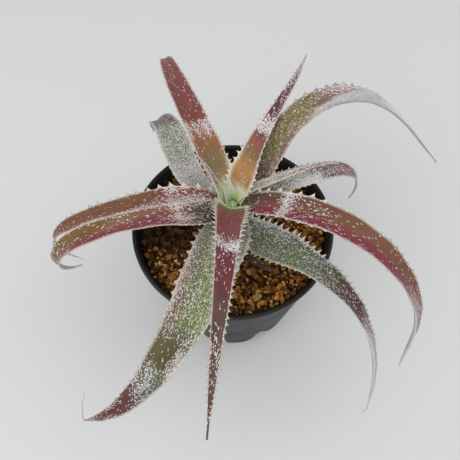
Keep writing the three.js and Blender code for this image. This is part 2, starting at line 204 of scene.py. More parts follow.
# Leaves from the heart to the lowest.
# azimuth: direction, counter-clockwise from +X. rise: height of the base.
# pitch: slope at five even places from base to tip.
# swing: turn away from the azimuth at the base, the middle and the tip.
# twist: turn of the blade about its own line at the same three places.
# teeth: the spacing of the margins' teeth and their greatest reach.
# fullness: how far along the leaf the blade keeps its width.
# thread: the dry filament at the tip, as its length, slope and direction.
# middle, left, right: pigments along the midrib and the two margins, as seen from the base.
# spread: where between midrib and margin the margin's pigment sets in and is full.
# scurf, scurf_left, scurf_right: how much of the upper face the white scales cover.
# scales: the scales' own pigments along the leaf where they are not white.
# pale: how far the teeth and margins fade to the spines' pigment, 1 where it isn't given.
# silver: a line across the blade, from -1 to 1, right of which it is felted silver.
LEAVES = [
    dict(name="heart_leaf_back", azimuth=108, rise=104, length=12, width=7, fullness=1,
        pitch=(86, 80, 76, 72, 68), swing=(0, 0, -6), twist=(0, 0, 0), teeth=(1.9, 0.9),
        middle=((0.15, LIME), (0.35, MINT)), left=((0, CREAM),), scurf=((0, 0.1), (0.3, 0.4), (1, 0.6))),
    dict(name="heart_leaf_right", azimuth=46, rise=103.5, length=13, width=7, fullness=1,
        pitch=(82, 70, 60, 52, 46), swing=(0, 0, 4), twist=(0, 0, 0), teeth=(1.9, 0.8),
        middle=((0.25, LIME), (0.55, MINT)), left=((0, CREAM),), scurf=((0, 0.05), (0.4, 0.3), (1, 0.55))),
    dict(name="leaf_young_right", azimuth=14, rise=103, length=53, width=4.8, fullness=1.4,
        pitch=(76, 24, 18, 12, -18), swing=(0, -1, -1), twist=(-6, -12, -14), teeth=(2.6, 1.1),
        middle=((0.18, MINT), (0.27, STRAW), (0.4, FAWN), (0.55, DUSK), (1, MAUVE)),
        left=((0.5, CREAM), (1, ROSE_GREY)),
        scurf=((0, 0.05), (0.12, 0.1), (0.2, 0.5), (0.6, 0.6), (1, 0.7))),
    dict(name="heart_leaf_left", azimuth=150, rise=103, length=11, width=7, fullness=1.1,
        pitch=(84, 78, 74, 70, 66), swing=(0, 0, -10), twist=(0, 0, 0), teeth=(1.9, 0.8),
        middle=((0.3, LIME), (0.7, MINT)), left=((0, CREAM),), scurf=((0, 0.1), (0.3, 0.4), (1, 0.6))),
    dict(name="leaf_young_left", azimuth=181, rise=103, length=41, width=3.2, fullness=1.5,
        pitch=(35, 86, 75, 69, 66), swing=(21, -6, -7), twist=(-20, -24, -20), teeth=(2.4, 0.9),
        middle=((0, MINT), (0.3, LIME), (0.5, DUSK), (1, MAUVE)), left=((0.4, SPINE), (1, ROSE_GREY)),
        scurf=((0, 0.2), (0.3, 0.45), (1, 0.6))),
    dict(name="leaf_front", azimuth=-120, rise=101, length=125.5, width=13.5, fullness=0.85,
        pitch=(61, 36, 2.8, -24.5, -54.7), swing=(30, 25.1, 21.9), twist=(-14, -2.7, 1.2),
        teeth=(3.1, 3.4),
        middle=((0, CREAM), (0.09, MINT), (0.125, LEAF_GREEN), (0.14, OLIVE_GREEN), (0.15, OLIVE_GREEN),
            (0.162, MAROON), (0.36, MAROON), (0.42, DEEP_RED), (0.54, DEEP_RED), (0.6, UMBER)),
        scurf=((0.3, 0), (0.36, 0.06), (0.385, 0.5), (0.395, 0.9), (0.415, 0.8), (0.43, 0.24),
            (0.5, 0.14), (0.55, 0.03), (0.6, 0.06), (0.66, 0.2), (0.75, 0.3), (1, 0.5)),
        scurf_left=((0.3, 0), (0.37, 0.1), (0.39, 0.6), (0.4, 0.98), (0.42, 0.9), (0.435, 0.4),
            (0.47, 0.2), (0.55, 0.03), (0.6, 0.06), (0.66, 0.2), (0.75, 0.3), (1, 0.5)),
        scurf_right=((0.3, 0), (0.35, 0.12), (0.375, 0.6), (0.39, 0.75), (0.405, 0.45), (0.42, 0.15),
            (0.5, 0.12), (0.55, 0.03), (0.6, 0.06), (0.66, 0.2), (0.75, 0.3), (1, 0.5))),
    dict(name="leaf_back_right_upper", azimuth=61, rise=103.5, length=84.1, width=13.7, fullness=0.73,
        pitch=(69, 55.4, 33.4, 8, -11.8), swing=(-10, -7.6, 12.6), twist=(8.1, -16.3, -13.1),
        teeth=(3.2, 2.3),
        middle=((0.05, LIME), (0.085, CREAM), (0.125, HONEY), (0.22, HONEY), (0.31, FAWN), (0.38, BRONZE),
            (0.47, DARK_MAROON), (0.7, PLUM), (1, DUSK)),
        left=((0.05, CREAM), (0.25, SPINE), (0.34, BRONZE), (1, MAROON)),
        right=((0.05, CREAM), (0.2, SPINE), (0.3, BRONZE), (1, MAROON)), spread=(0.75, 0.98),
        scurf=((0.06, 0.5), (0.12, 0.35), (0.2, 0.14), (0.36, 0.03), (0.42, 0.2), (0.445, 0.95),
            (0.495, 0.95), (0.53, 0.3), (0.7, 0.4), (1, 0.6))),
    dict(name="leaf_back_left_upper", azimuth=112, rise=101, length=119.9, width=13.9, fullness=2.17,
        pitch=(35.9, 18, 6, -17.9, -66.3), swing=(6.6, 0.8, -14.5), twist=(6.2, 8, -19.9),
        teeth=(3.6, 1.7), thread=(9, 5, 15),
        middle=((0.07, LIME), (0.11, STRAW), (0.16, OLIVE), (0.18, OLIVE), (0.22, FAWN), (0.28, COPPER),
            (0.4, BRICK), (0.8, BRICK), (0.93, MAROON), (1, MAUVE)),
        left=((0.04, CREAM), (0.12, COPPER), (0.3, BRONZE), (0.5, BRICK), (1, MAUVE)),
        right=((0.04, CREAM), (0.14, SPINE), (0.2, COPPER), (0.3, BRONZE), (0.5, BRICK), (1, MAUVE)),
        spread=(0.65, 0.97),
        scurf=((0.04, 0.5), (0.09, 0.3), (0.14, 0.05), (0.22, 0.02), (0.27, 0.14), (0.31, 0.65),
            (0.36, 0.75), (0.385, 0.08), (0.5, 0.1), (0.75, 0.14), (1, 0.4))),
    dict(name="leaf_right", azimuth=-30.6, rise=100, length=185.5, width=13.9, fullness=1.96,
        pitch=(51.1, 9.8, -45.1, -77.7, -79), swing=(2.9, -2.3, -15.1), twist=(11.5, -9.7, 4.8),
        teeth=(5.4, 2.2),
        middle=((0.04, MOSS_GREY), (0.1, BRONZE), (0.2, RUSSET), (0.35, RUSSET), (0.55, MAROON),
            (0.62, ROSE_GREY), (0.68, UNDERSIDE)),
        left=((0.04, MOSS_GREY), (0.1, UMBER), (0.3, RUSSET), (0.55, RUSSET), (0.65, MAUVE)),
        right=((0.04, MOSS_GREY), (0.09, CRIMSON), (0.5, CRIMSON), (0.62, ROSE_GREY), (0.66, UNDERSIDE)),
        spread=(-0.3, 0.6),
        scurf=((0.03, 0.4), (0.08, 0.28), (0.135, 0.13), (0.15, 0.6), (0.165, 0.9), (0.18, 0.65),
            (0.195, 0.25), (0.3, 0.16), (0.42, 0.08), (0.52, 0.12), (0.6, 0.3), (1, 0.45))),
    dict(name="leaf_left_near", azimuth=204.9, rise=99, length=108.8, width=13, fullness=3.05,
        pitch=(29.3, 27.7, 1.8, -29.3, -166.7), swing=(12.9, -8.2, 4.4), twist=(-27.1, 18.7, -40.9),
        teeth=(3.2, 1.6),
        middle=((0.05, MOSS_GREY), (0.2, UMBER), (0.27, MAROON), (0.42, MAROON), (0.55, BRONZE),
            (0.66, KHAKI), (0.82, KHAKI), (0.9, MAUVE)),
        left=((0.05, SLATE), (0.22, LOAM), (0.28, CRIMSON), (0.68, CRIMSON), (0.78, MAUVE)),
        right=((0.05, MOSS_GREY), (0.2, UMBER), (0.26, BRONZE), (0.38, BRONZE), (0.5, FAWN),
            (0.62, KHAKI), (0.82, KHAKI), (0.9, MAUVE)), spread=(0, 0.6),
        scurf=((0.12, 0.3), (0.2, 0.42), (0.25, 0.6), (0.27, 0.8), (0.3, 0.6), (0.34, 0.26), (0.45, 0.24),
            (0.6, 0.15), (0.74, 0.15), (0.84, 0.3), (1, 0.6)),
        scurf_left=((0.05, 0.3), (0.2, 0.45), (0.27, 0.5), (0.34, 0.15), (0.7, 0.1), (1, 0.6))),
    dict(name="leaf_left_far", azimuth=177, rise=96.5, length=133.9, width=12.4, fullness=2.14,
        pitch=(42.8, -15, -21.2, -47.8, -140.9), swing=(-2.8, 5.6, 3.1), twist=(1.6, 1.3, -14.2),
        teeth=(6.4, 3.4), thread=(7, -10, -25),
        middle=((0.03, COPPER), (0.1, BRICK), (0.24, BRICK), (0.36, RUSSET)),
        left=((0.03, COPPER), (0.12, MAROON), (0.3, MAUVE), (0.42, SPINE), (0.56, SPINE), (0.62, BRONZE),
            (1, MAUVE)), spread=(0.45, 0.9),
        scurf=((0.05, 0.3), (0.12, 0.6), (0.22, 0.7), (0.28, 0.35), (0.36, 0.08), (0.6, 0.04), (0.8, 0.2),
            (1, 0.5)),
        scurf_left=((0.05, 0.3), (0.2, 0.6), (0.3, 0.7), (0.42, 0.4), (0.55, 0.2), (1, 0.5)),
        scurf_right=((0.05, 0.2), (0.15, 0.5), (0.22, 0.75), (0.26, 0.35), (0.3, 0.05), (0.7, 0.04),
            (1, 0.4))),
    dict(name="leaf_right_short", azimuth=20.1, rise=95.5, length=98, width=12.5, fullness=1.28,
        pitch=(43.1, 2.9, -8.3, -55.9, -109.2), swing=(3.6, 1.3, -8.7), twist=(-38.1, 22.9, 15.1),
        teeth=(3.4, 1.8),
        middle=((0.06, OCHRE), (0.15, GREY_GREEN), (0.45, GREY_GREEN), (0.52, UMBER), (0.62, MAUVE),
            (1, DUSK)), left=((0.06, STRAW), (0.2, BRONZE), (0.45, DUSK), (0.6, MAUVE)),
        right=((0.06, OCHRE), (0.15, GREY_GREEN), (0.32, GREY_GREEN), (0.37, UNDERSIDE),
            (0.45, UNDERSIDE), (0.5, UMBER), (0.62, MAUVE), (1, DUSK)), spread=(0.05, 0.5),
        scurf=((0.06, 0.4), (0.2, 0.5), (0.35, 0.72), (0.46, 0.85), (0.52, 0.42), (0.7, 0.4), (1, 0.6)),
        scurf_left=((0.06, 0.4), (0.45, 0.5), (0.6, 0.3), (1, 0.6)),
        scurf_right=((0.1, 0.4), (0.28, 0.5), (0.35, 0.95), (0.46, 1), (0.5, 0.6), (0.56, 0.35),
            (0.7, 0.4), (1, 0.7))),
    dict(name="leaf_back_right_long", azimuth=42, rise=93.5, length=174, width=13.9, fullness=1.17,
        pitch=(42.8, 61.3, -22, -47.9, -48.2), swing=(2, -25, -39.9), twist=(6.5, 4.2, -14.5),
        teeth=(4.6, 2.2),
        middle=((0.04, SHADE), (0.12, UMBER), (0.19, OLIVE_TAN), (0.38, OLIVE_TAN), (0.43, MAUVE),
            (0.5, ROSE_GREY), (0.58, UNDERSIDE)), right=((0.04, SHADE), (0.1, MAUVE), (1, ROSE_GREY)),
        scurf=((0.04, 0.4), (0.13, 0.6), (0.2, 0.56), (0.28, 0.46), (0.33, 0.28), (0.4, 0.32),
            (0.46, 0.5), (0.55, 0.75), (1, 0.95)),
        scurf_right=((0.04, 0.4), (0.2, 0.45), (0.38, 0.5), (0.46, 0.6), (0.56, 0.9), (1, 1)),
        scales=((0.36, STRAW_SCURF), (0.46, SCURF)),
        silver=((0.33, -1.2), (0.38, -0.4), (0.42, -0.3), (0.45, 0), (0.5, 0.4), (0.55, 1.2))),
    dict(name="leaf_back_left_lower", azimuth=139.9, rise=91, length=92.4, width=16.4, fullness=3.43,
        pitch=(15.5, 22.4, 12.4, -32.1, -81.3), swing=(20.6, -29.4, 0), twist=(31.8, 12.6, -7.3),
        teeth=(3.4, 1.4),
        middle=((0.38, SAGE), (0.48, LEAF_GREEN), (0.64, LEAF_GREEN), (0.7, DUSK), (0.8, DUSK),
            (1, ROSE_GREY)),
        scurf=((0.1, 0.94), (0.25, 1), (0.36, 1), (0.42, 0.84), (0.62, 0.82), (0.68, 0.4), (0.75, 0.25),
            (1, 0.5))),
    dict(name="leaf_front_left", azimuth=-113.2, rise=90.5, length=141.5, width=23.6, fullness=1.74,
        pitch=(31.9, 24, -14.5, -38.9, -36.2), swing=(16.3, -5.5, -68), twist=(-11.9, 16.3, 10.7),
        teeth=(6, 2.2), thread=(18, 50, 66),
        middle=((0.06, SAGE), (0.14, GREY_GREEN), (0.22, LEAF_GREEN), (0.49, LEAF_GREEN),
            (0.54, MOSS_GREY), (0.575, DARK_OLIVE), (0.635, DARK_OLIVE), (0.66, GREY_GREEN),
            (0.74, SLATE), (0.79, DARK_MAROON), (0.92, DARK_MAROON), (1, MAUVE)),
        right=((0.08, MOSS_GREY), (0.3, DUSK), (0.5, DUSK), (0.56, DARK_OLIVE), (0.63, DARK_OLIVE),
            (0.75, UMBER), (0.81, DARK_MAROON), (1, MAUVE)),
        scurf=((0.08, 0.75), (0.2, 0.76), (0.3, 0.7), (0.46, 0.66), (0.5, 0.42), (0.54, 0.24),
            (0.585, 0.08), (0.63, 0.1), (0.655, 0.55), (0.7, 0.8), (0.75, 0.66), (0.785, 0.12),
            (0.9, 0.1), (1, 0.8)),
        scurf_left=((0.08, 0.55), (0.3, 0.6), (0.53, 0.6), (0.58, 0.9), (0.625, 0.85), (0.655, 0.1),
            (0.72, 0.5), (0.8, 0.1), (1, 0.8)),
        scurf_right=((0.08, 0.72), (0.2, 0.7), (0.3, 0.56), (0.46, 0.56), (0.53, 0.44), (0.57, 0.14),
            (0.63, 0.14), (0.66, 0.5), (0.74, 0.6), (0.785, 0.1), (1, 0.8)),
        scales=((0.5, YELLOW_SCURF), (0.6, SCURF))),
    dict(name="leaf_front_right", azimuth=-48.7, rise=87.5, length=176, width=18.6, fullness=0.67,
        pitch=(13.4, 20.9, -52.2, -73.3, -77.4), swing=(3.2, 3.1, -9.3), twist=(28.9, -31.8, -4.8),
        teeth=(3.5, 3), thread=(6, -45, -150),
        middle=((0.05, GREY_GREEN), (0.1, LEAF_GREEN), (0.24, LEAF_GREEN), (0.32, GREY_GREEN),
            (0.38, UMBER), (0.44, PLUM), (0.51, PLUM), (0.55, ROSE_GREY), (0.6, UNDERSIDE)),
        left=((0.3, GREY_GREEN), (0.38, UMBER), (0.44, PLUM), (0.7, PLUM), (1, MAUVE)),
        scurf=((0.02, 0.5), (0.06, 0.8), (0.1, 0.6), (0.2, 0.52), (0.36, 0.36), (0.4, 0.22), (0.46, 0.18),
            (0.49, 0.7), (0.57, 0.85), (0.63, 0.75))),
    dict(name="leaf_dried", azimuth=-76, rise=84, length=34, width=5.5, fullness=1.6,
        pitch=(6, -6, -6, 0, 6), swing=(0, 24, 56), twist=(0, 10, 20), teeth=(3.2, 0.7),
        middle=((0, BARK),), scurf=((0, 0.1), (1, 0.25)), pale=0.12),
]


def add_camera():
    """The photograph's viewpoint, above the front of the plant and looking down on it."""
    camera = bpy.data.objects.new("camera", bpy.data.cameras.new("camera"))
    bpy.context.scene.collection.objects.link(camera)
    camera.location = np.array(CAMERA_PLACE) * MILLIMETRE
    camera.rotation_euler = (np.radians(CAMERA_TILT), 0, 0)
    camera.data.lens = CAMERA_LENS
    camera.data.sensor_width = CAMERA_SENSOR
    camera.data.clip_start = 0.01
    bpy.context.scene.camera = camera


# Meshes


def add_mesh(name, points, faces, material, uv=None, colour=None, values=None, smooth=True):
    """A mesh from points in millimetres and lists of face arrays.

    uv, colour and values hold one entry for each point.
    """
    mesh = bpy.data.meshes.new(name)
    mesh.vertices.add(len(points))
    mesh.vertices.foreach_set("co", (points * MILLIMETRE).astype(np.float32).ravel())
    corners = np.concatenate([f.ravel() for f in faces])
    counts = np.concatenate([np.full(len(f), f.shape[1]) for f in faces])
    mesh.loops.add(len(corners))
    mesh.loops.foreach_set("vertex_index", corners.astype(np.int32))
    mesh.polygons.add(len(counts))
    mesh.polygons.foreach_set("loop_start", (np.cumsum(counts) - counts).astype(np.int32))
    mesh.update(calc_edges=True)
    mesh.validate()
    mesh.polygons.foreach_set("use_smooth", np.full(len(mesh.polygons), smooth))
    if uv is not None:
        layer = mesh.uv_layers.new(name="surface")
        layer.data.foreach_set("uv", uv[corners].astype(np.float32).ravel())
    if colour is not None:
        layer = mesh.attributes.new("pigment", "FLOAT_COLOR", "POINT")
        rgba = np.column_stack([colour, np.ones(len(colour))])
        layer.data.foreach_set("color", rgba.astype(np.float32).ravel())
    for key, numbers in (values or {}).items():
        layer = mesh.attributes.new(key, "FLOAT", "POINT")
        layer.data.foreach_set("value", numbers.astype(np.float32))
    mesh.materials.append(material)
    piece = bpy.data.objects.new(name, mesh)
    bpy.context.scene.collection.objects.link(piece)
    return piece


def tube_faces(rows, around, first=0, turned=False):
    """Quads that join each closed ring of points to the next, and a fan at each end.

    The rings start at point first. The fans meet in the two points that follow the rings.
    Turned, every face looks the other way.
    """
    row = np.arange(rows - 1)[:, None] * around
    i = np.arange(around)
    k = (i + 1) % around
    quads = np.stack([row + i, row + around + i, row + around + k, row + k], -1).reshape(-1, 4)
    centre = np.full(around, rows * around)
    last = (rows - 1) * around
    fans = [np.stack([centre, i, k], -1), np.stack([centre + 1, last + k, last + i], -1)]
    if turned:
        quads, fans = quads[:, ::-1], [fan[:, [0, 2, 1]] for fan in fans]
    return [quads + first, *(fan + first for fan in fans)]


def dress(piece, node):
    """The piece stands for a node of the frame: it hangs from the root and the node's own part is hidden.
    """
    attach(piece, "root")
    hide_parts(node)
    return piece


# Curves and noise


def along(values, t):
    """A smooth curve through evenly spaced values, read at t from 0 to 1 (Catmull-Rom)."""
    v = np.array(values, float)
    v = np.concatenate([[2 * v[0] - v[1]], v, [2 * v[-1] - v[-2]]])
    place = np.clip(t, 0, 1) * (len(v) - 3)
    i = np.minimum(place.astype(int), len(v) - 4)
    f = place - i
    a, b, c, d = v[i], v[i + 1], v[i + 2], v[i + 3]
    return b + 0.5 * f * (c - a + f * (2 * a - 5 * b + 4 * c - d + f * (3 * (b - c) + d - a)))


def stops(pairs, t):
    """Values joined by straight lines through (place, value) pairs; a value may be a colour."""
    places = [p for p, _ in pairs]
    values = np.array([v for _, v in pairs], float)
    if values.ndim == 1:
        return np.interp(t, places, values)
    return np.stack([np.interp(t, places, values[:, k]) for k in range(3)], -1)


def smoothstep(low, high, x):
    """0 below low, 1 above high and an S-shaped rise between them."""
    f = np.clip((x - low) / (high - low), 0, 1)
    return f * f * (3 - 2 * f)


def blend(a, b, share):
    """From a at share 0 to b at share 1."""
    return a * (1 - share) + b * share


def ripple(points, scale, draw, waves=9):
    """Smooth noise of about -1 to 1 at points: a sum of sine waves in random directions."""
    ways = draw.normal(size=(points.shape[-1], waves)) / scale
    return np.sin(points @ ways + draw.uniform(0, 6.28, waves)).sum(-1) / np.sqrt(waves)


# Leaves


def direction(pitch, heading):
    """The unit vector at a pitch above the horizon and a heading round from +X, in radians."""
    level = np.cos(pitch)
    return np.stack([level * np.cos(heading), level * np.sin(heading), np.sin(pitch)], -1)


def unit(vectors):
    """Vectors, along the last axis, cut to length 1."""
    return vectors / np.linalg.norm(vectors, axis=-1, keepdims=True)


def leaf_directions(leaf, t):
    """Forward, side and up directions of a leaf at t from 0 to 1.

    Forward has the pitch above the horizon and the azimuth plus the swing as its heading. The
    side is level and square to it, then turned about it by the twist. Up is square to both.
    """
    pitch = np.radians(along(leaf["pitch"], t))
    heading = np.radians(leaf["azimuth"] + along(leaf["swing"], t))
    twist = np.radians(along(leaf["twist"], t))[:, None]
    forward = direction(pitch, heading)
    level = np.stack([-np.sin(heading), np.cos(heading), np.zeros_like(heading)], -1)
    side = level * np.cos(twist) + np.cross(forward, level) * np.sin(twist)
    return forward, side, np.cross(forward, side)


def leaf_line(leaf, t):
    """Points of a leaf's midrib at t: the running sum of even steps forward."""
    azimuth = np.radians(leaf["azimuth"])
    start = [LEAF_START * np.cos(azimuth), LEAF_START * np.sin(azimuth), leaf["rise"]]
    forward = leaf_directions(leaf, (np.arange(LINE_STEPS) + 0.5) / LINE_STEPS)[0]
    line = np.vstack([[start], start + np.cumsum(forward, 0) * leaf["length"] / LINE_STEPS])
    place, steps = np.clip(t, 0, 1) * LINE_STEPS, np.arange(LINE_STEPS + 1)
    return np.stack([np.interp(place, steps, line[:, k]) for k in range(3)], -1)


def blade_width(leaf, t):
    """Width at t: a quarter sine from the base to the widest place, then a power-curve taper."""
    swell = np.sin(np.minimum(t / WIDEST_AT, 1) * np.pi / 2)
    fall = np.maximum(t - WIDEST_AT, 0) / (1 - WIDEST_AT)
    share = (BASE_WIDTH + (1 - BASE_WIDTH) * swell) * (1 - fall ** leaf["fullness"])
    return np.maximum(leaf["width"] * share, TIP_WIDTH)


def blade_points(leaf, t, across, face):
    """Points of the blade at t along it and across it from -1 to 1, on the upper face at
    face 1 and the lower at -1.

    The section is a channel whose lift grows as the 1.6th power of the distance from the
    midrib. Its thickness falls from the midrib to the margins, which ripple a little.
    """
    centre = leaf_line(leaf, t)
    _, side, up = leaf_directions(leaf, t)
    width = blade_width(leaf, t)
    deep = CHANNEL + (BASE_CHANNEL - CHANNEL) * np.maximum(0, 1 - t / BASE_REACH) ** 2
    edge = np.minimum(MARGIN_THICKNESS, width)
    middle = np.minimum(BLADE_THICKNESS, edge + 0.08 * width)
    thickness = edge + (middle - edge) * np.cos(np.abs(across) * np.pi / 2)
    wave = MARGIN_WAVE * width * np.sin(t * leaf["length"] * 0.31 + 2 * across) * np.abs(across) ** 3
    lift = deep * width * np.abs(across) ** 1.6 + face * thickness / 2 + wave
    return centre + side * (across * width / 2)[:, None] + up * lift[:, None]


def tooth_rings(leaf, draw):
    """Places in millimetres of the blade's rings, and the reach of the margins' teeth there.

    Each tooth is a peak that falls off as the 3.4th power on both sides, so that the margin
    between two teeth is a hollow curve. The places are closer together at the peaks.
    """
    spacing, most = leaf["teeth"]
    near_tip = np.array([-0.5, -0.36, -0.24, -0.14, -0.06, 0, 0.05, 0.12, 0.22, 0.34])
    first = TEETH_START if leaf["length"] > SHORT_LEAF else SHORT_TEETH_START
    count = int((leaf["length"] - first - TEETH_END) / spacing)
    shrink = 1 - 0.25 * np.arange(count) / max(count, 1)
    peaks = first + np.cumsum(spacing * shrink * draw.uniform(0.86, 1.14, count))
    peaks = peaks[peaks < leaf["length"] - TEETH_END]
    place = (peaks[:, None] + near_tip * spacing).ravel()
    place = np.concatenate([np.linspace(0, place[0] - 0.3, 6), place])
    place = np.concatenate([place, np.linspace(place[-1] + 0.3, leaf["length"], 8)])
    place = np.maximum.accumulate(place)
    nearest = np.abs(place[:, None] - peaks[None, :]).argmin(1)
    offset = np.minimum(np.abs(place - peaks[nearest]) / (spacing * 0.5), 1)
    reaches = []
    for _ in (-1, 1):
        size = 1.25 * most * draw.uniform(0.7, 1.12, len(peaks)) * smoothstep(-1, 7, peaks)
        size = size * (0.28 + 0.72 * (1 - peaks / leaf["length"]) ** 2.2)
        size = np.minimum(size, 0.5 + 0.24 * blade_width(leaf, peaks / leaf["length"]))
        reaches.append(0.1 + size[nearest] * (1 - offset) ** 3.4)
    return place, reaches


def leaf_colours(leaf, t, across):
    """Pigment and scurf cover at t along the blade and across it from -1 to 1.

    A short leaf has its left margin's pigments on the right too. Where a blade is felted silver,
    it is grey, white and grey again towards its cream tip, with a painted shade line darker at the right
    margin.
    """
    short = leaf["length"] < SHORT_LEAF
    middle = stops(leaf["middle"], t)
    left = stops(leaf.get("left", leaf["middle"]), t)
    default_right = leaf["left"] if short and "left" in leaf else leaf["middle"]
    right = stops(leaf.get("right", default_right), t)
    inner, outer = leaf.get("spread", (0.5 if short else 0.1, 0.9))
    margin = blend(right, left, smoothstep(-0.25, 0.25, across)[:, None])
    colour = blend(middle, margin, smoothstep(inner, outer, np.abs(across))[:, None])
    cover = stops(leaf["scurf"], t)
    cover_left = stops(leaf.get("scurf_left", leaf["scurf"]), t)
    cover_right = stops(leaf.get("scurf_right", leaf["scurf"]), t)
    cover_side = np.where(across > 0, cover_left, cover_right)
    cover = cover + (cover_side - cover) * smoothstep(0.0, 0.7, np.abs(across))
    cover = cover + 0.25 * smoothstep(0.78, 1.0, np.abs(across))
    if "silver" in leaf:
        share = smoothstep(0.12, -0.12, across - stops(leaf["silver"], t))
        felt = stops(FELT, t)
        # painted shade line: the felt darkens towards the right margin
        felt = felt * (1 - 0.4 * smoothstep(-0.6, -0.95, across))[:, None]
        colour = blend(colour, felt, share[:, None])
        cover = blend(cover, 0.3, share)
    return colour, cover


def leaf_blade(leaf, draw):
    """The blade as closed rings along the leaf, with its points' colours.

    A ring runs over the upper face from the right margin to the left and back over the lower
    face. Beyond each margin three points reach out to a tooth's tip, which rises and leans
    forward with its reach.
    """
    place, (reach_right, reach_left) = tooth_rings(leaf, draw)
    t = place / leaf["length"]
    rows = len(t)
    across = np.sin(np.linspace(-1, 1, 13) * np.pi / 2)
    columns = [(a, 0.0, 1) for a in across]
    columns += [(1.0, 0.33, 1), (1.0, 0.66, 1), (1.0, 1.0, 0), (1.0, 0.66, -1), (1.0, 0.33, -1)]
    columns += [(a, 0.0, -1) for a in across[::-1]]
    columns += [(-1.0, 0.33, -1), (-1.0, 0.66, -1), (-1.0, 1.0, 0), (-1.0, 0.66, 1)]
    columns += [(-1.0, 0.33, 1)]
    a, out, face = (np.array(c, float) for c in zip(*columns))
    around = len(a)
    tt, aa = np.repeat(t, around), np.tile(a, rows)
    oo, ff = np.tile(out, rows), np.tile(face, rows)
    thin = ff * (1 - oo) ** 0.7
    points = blade_points(leaf, tt, aa, thin)
    forward, side, up = leaf_directions(leaf, tt)
    reach = np.where(aa > 0, np.repeat(reach_left, around), np.repeat(reach_right, around))
    rise = np.radians(TOOTH_RISE)
    outward = side * (np.sign(aa) * np.cos(rise))[:, None] + up * np.sin(rise)
    outward = outward + forward * (TOOTH_LEAN * oo)[:, None]
    points = points + outward * (reach * oo)[:, None]
    colour, cover = leaf_colours(leaf, tt, aa)
    under = ff < 0
    beneath = blend(MOSS, UNDERSIDE, smoothstep(0.0, 0.12, tt)[:, None])
    colour = np.where(under[:, None], beneath, colour)
    cover = np.where(under, 0.35, cover)
    tipped = np.clip(1.8 * oo * reach, 0, 1) * (0.6 + 0.4 * smoothstep(0.6, 0.2, tt))
    pale = np.maximum(tipped, 0.6 * smoothstep(0.9, 1.0, np.abs(aa)))[:, None]
    pale = pale * leaf.get("pale", 1)
    if "silver" in leaf:
        pale = pale * (1 - 0.8 * smoothstep(0.3, 0.45, tt))[:, None]
    colour = blend(colour, SPINE, pale)
    cover = cover * (1 - smoothstep(0, 0.5, oo))
    u = aa * blade_width(leaf, tt) / 2 + np.sign(aa) * oo * reach
    uv = np.column_stack([u, tt * leaf["length"] + UNDERSIDE_SHIFT * under])
    return points, colour, cover, under.astype(float), uv, rows, around


def thread_rings(leaf, draw):
    """Rings of the dry filament at a leaf's tip, which bends from the leaf's direction to its
    own. The centre points of the first and the last ring follow the rings."""
    length, pitch, heading = leaf["thread"]
    own = direction(np.radians(pitch), np.radians(heading))
    before = leaf_directions(leaf, np.array([1.0]))[0][0]
    steps, sides = FILAMENT_STEPS, FILAMENT_SIDES
    share = smoothstep(-0.4, 0.5, np.arange(steps) / steps)[:, None]
    way = unit(blend(before, own, share) + 0.12 * np.sin(np.arange(steps) * 0.5)[:, None])
    start = leaf_line(leaf, np.array([1.0]))[0]
    line = start + np.vstack([[0, 0, 0], np.cumsum(way[:-1], 0)]) * length / steps
    side = unit(np.cross(way, [0.3, 0.2, 1.0]))
    lift = np.cross(way, side)
    radius = np.linspace(0.36, 0.1, steps)[:, None, None]
    angle = np.radians(np.arange(sides) * 360 / sides)[None, :, None]
    ring = line[:, None] + radius * (
        np.cos(angle) * lift[:, None] + np.sin(angle) * side[:, None]
    )
    ring = ring.reshape(-1, 3)
    return np.vstack([ring, ring[:sides].mean(0), ring[-sides:].mean(0)])


